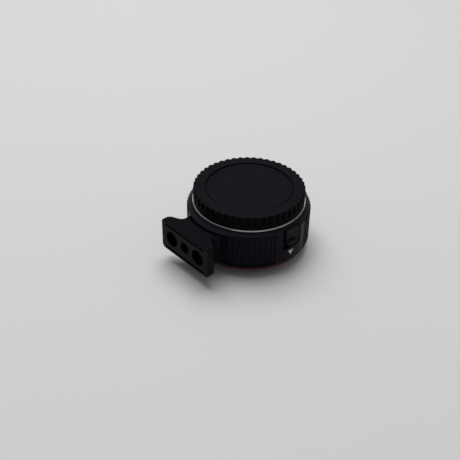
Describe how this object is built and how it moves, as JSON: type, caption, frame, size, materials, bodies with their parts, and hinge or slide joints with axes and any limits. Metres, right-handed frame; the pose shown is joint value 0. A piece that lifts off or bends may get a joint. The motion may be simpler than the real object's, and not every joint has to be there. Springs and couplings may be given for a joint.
{
  "type": "lens mount adapter",
  "caption": "Short black lens mount adapter: ribbed barrel with a bayonet at each end, lens release slider, red base ring, tripod foot and a lobed cap over the front mount.",
  "frame": {"origin": "on the optical axis, at the end of the rear spigot, which the adapter stands on", "axes": "+Z along the optical axis towards the lens, -Y towards the tripod foot, the release slider near +X"},
  "size_m": [0.0726, 0.084, 0.0379],
  "materials": {
    "barrel": "black satin anodised",
    "cap": "fine matte moulding",
    "foot": "black satin anodised",
    "slider": "black satin",
    "front_ring": "satin turned",
    "rear_plate": "satin turned",
    "accent": "red anodised",
    "dot": "red enamel",
    "screws": "plain",
    "foot_screws": "black oxide",
    "springs": "bright wire and strip",
    "lock_pin": "polished",
    "carriage": "plain",
    "frame": "matte black, against stray light",
    "contact_block": "plain",
    "contacts": "gold plated",
    "ribbon": "amber film",
    "board": "green solder mask",
    "chip": "plain",
    "components": "plain"
  },
  "bodies": {
    "adapter": {"barrel": "barrel", "tripod_foot": "foot", "front_bayonet_ring": "front_ring", "rear_bayonet_plate": "rear_plate", "accent_ring": "accent", "index_dot": "dot", "front_ring_screws": "screws", "rear_plate_screws": "screws", "board_screws": "screws", "front_contact_screws": "screws", "rear_contact_screws": "screws", "foot_screws": "foot_screws", "lock_spring": "springs", "retaining_spring": "springs", "inner_frame": "frame", "front_contact_block": "contact_block", "rear_contact_block": "contact_block", "rear_contacts": "contacts", "front_flex": "ribbon", "rear_flex": "ribbon", "circuit_board": "board", "control_chip": "chip", "board_components": "components"},
    "cap": {"front_cap": "cap"},
    "slider": {"release_slider": "slider", "lock_carriage": "carriage", "lock_pin": "lock_pin"},
    "pin_1": {"contact_pin_1": "contacts"},
    "pin_2": {"contact_pin_2": "contacts"},
    "pin_3": {"contact_pin_3": "contacts"},
    "pin_4": {"contact_pin_4": "contacts"},
    "pin_5": {"contact_pin_5": "contacts"},
    "pin_6": {"contact_pin_6": "contacts"},
    "pin_7": {"contact_pin_7": "contacts"},
    "pin_8": {"contact_pin_8": "contacts"}
  },
  "joints": [
    {"name": "cap_turn", "type": "hinge", "parent": "adapter", "child": "cap", "pos_m": [0, 0, 0.03], "axis": [0, 0, 1], "range_deg": [0, 60]},
    {"name": "release_slide", "type": "slide", "parent": "adapter", "child": "slider", "axis": [0, 0, -1], "range_m": [0, 0.0022], "stiffness_N_per_m": 900, "springref_m": -0.001, "deforming": ["lock_spring"]},
    {"name": "pin_1_slide", "type": "slide", "parent": "adapter", "child": "pin_1", "axis": [0, 0, -1], "range_m": [0, 0.0006], "stiffness_N_per_m": 700, "springref_m": -0.0003},
    {"name": "pin_2_slide", "type": "slide", "parent": "adapter", "child": "pin_2", "axis": [0, 0, -1], "range_m": [0, 0.0006], "stiffness_N_per_m": 700, "springref_m": -0.0003},
    {"name": "pin_3_slide", "type": "slide", "parent": "adapter", "child": "pin_3", "axis": [0, 0, -1], "range_m": [0, 0.0006], "stiffness_N_per_m": 700, "springref_m": -0.0003},
    {"name": "pin_4_slide", "type": "slide", "parent": "adapter", "child": "pin_4", "axis": [0, 0, -1], "range_m": [0, 0.0006], "stiffness_N_per_m": 700, "springref_m": -0.0003},
    {"name": "pin_5_slide", "type": "slide", "parent": "adapter", "child": "pin_5", "axis": [0, 0, -1], "range_m": [0, 0.0006], "stiffness_N_per_m": 700, "springref_m": -0.0003},
    {"name": "pin_6_slide", "type": "slide", "parent": "adapter", "child": "pin_6", "axis": [0, 0, -1], "range_m": [0, 0.0006], "stiffness_N_per_m": 700, "springref_m": -0.0003},
    {"name": "pin_7_slide", "type": "slide", "parent": "adapter", "child": "pin_7", "axis": [0, 0, -1], "range_m": [0, 0.0006], "stiffness_N_per_m": 700, "springref_m": -0.0003},
    {"name": "pin_8_slide", "type": "slide", "parent": "adapter", "child": "pin_8", "axis": [0, 0, -1], "range_m": [0, 0.0006], "stiffness_N_per_m": 700, "springref_m": -0.0003}
  ]
}
